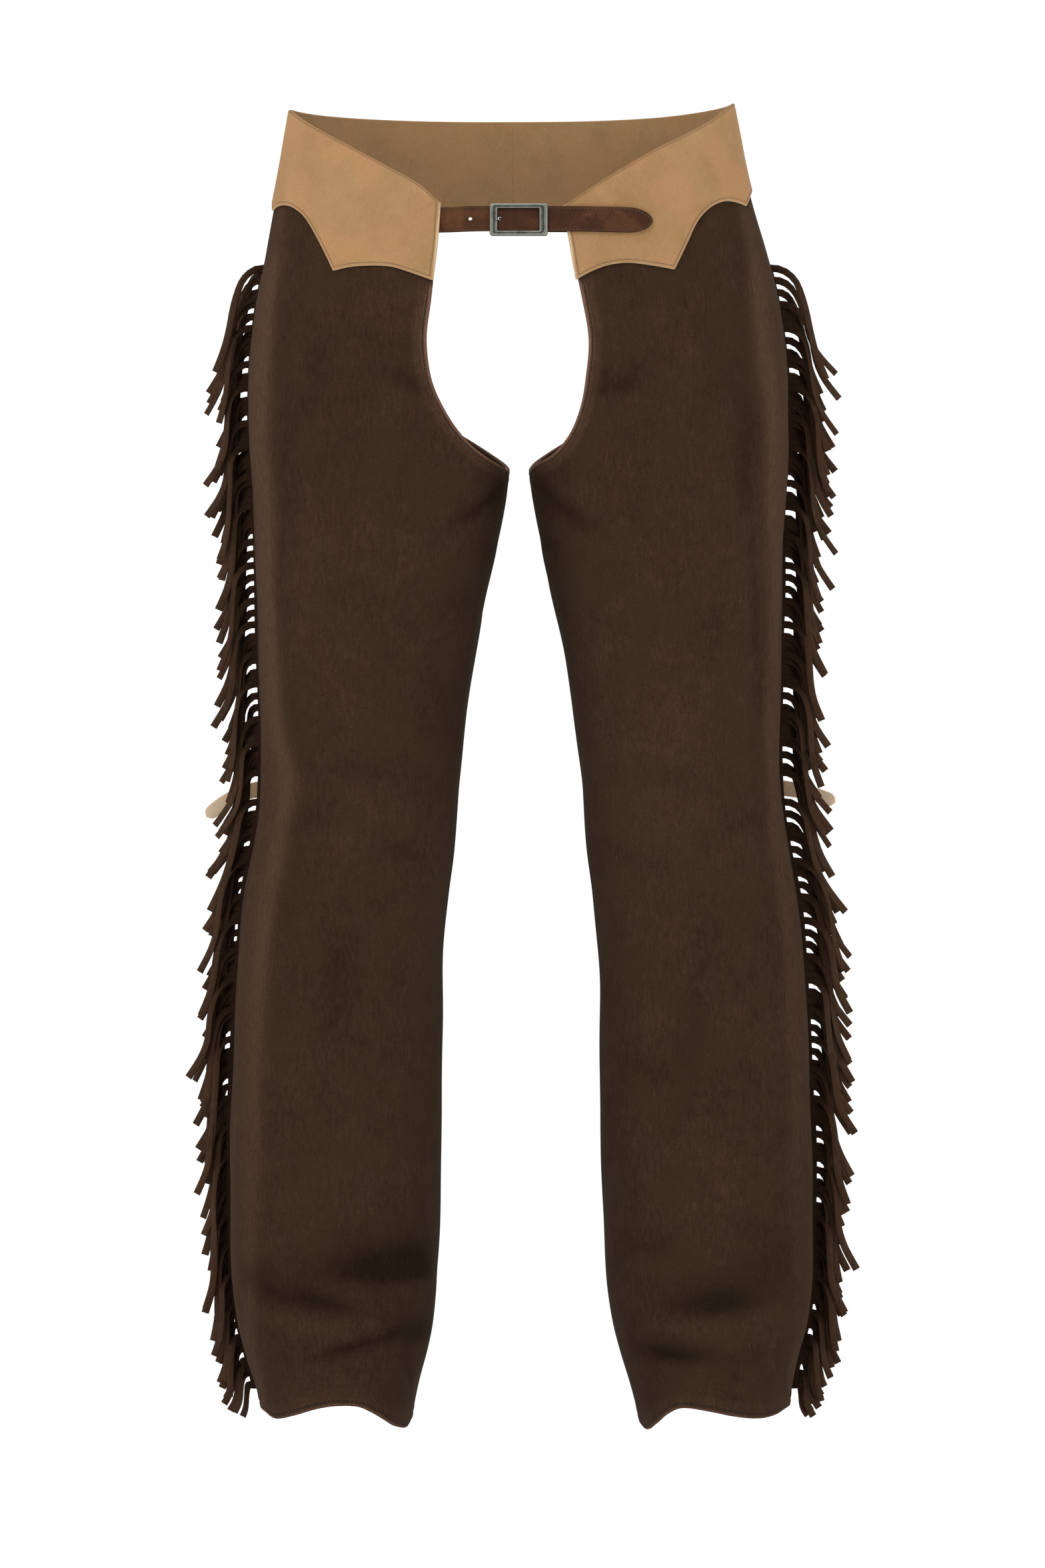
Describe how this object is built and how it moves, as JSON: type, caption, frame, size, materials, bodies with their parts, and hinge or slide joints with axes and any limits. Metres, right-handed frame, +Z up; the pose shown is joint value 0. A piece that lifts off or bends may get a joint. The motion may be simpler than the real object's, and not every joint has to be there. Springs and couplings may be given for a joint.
{
  "type": "leather chaps",
  "caption": "Full-length suede chaps in their worn shape: two open legs under a scalloped yoke, with a front strap and buckle, fringed outer seams and knee straps.",
  "frame": {"origin": "middle of the waist, level with the top of the front closure's yoke, inside the ring that the wearer's waist and hips hold", "axes": "+Z up along the legs, -Y to the front with the buckle, +X to the wearer's left"},
  "size_m": [0.5215, 0.2468, 1.0195],
  "materials": {
    "brown_suede": "dark brown brushed suede, soft nap, no gloss",
    "tan_suede": "tan suede with a fine nap and a paler cut edge",
    "fringe_suede": "dark brown suede, cut edges showing",
    "strap_leather": "reddish brown strap leather, slightly waxed",
    "antique_nickel": "antique nickel plate, worn bright on the edges",
    "knee_strap_suede": "pale tan suede"
  },
  "bodies": {
    "root": {"leg_front_left": "brown_suede", "leg_front_right": "brown_suede", "leg_back_left": "brown_suede", "leg_back_right": "brown_suede", "yoke_left": "tan_suede", "yoke_right": "tan_suede", "fringe_left": "fringe_suede", "fringe_right": "fringe_suede", "front_strap": "strap_leather", "buckle_chape": "strap_leather", "buckle_frame": "antique_nickel", "buckle_tongue": "antique_nickel", "knee_strap_left": "knee_strap_suede", "knee_strap_right": "knee_strap_suede"}
  },
  "joints": []
}
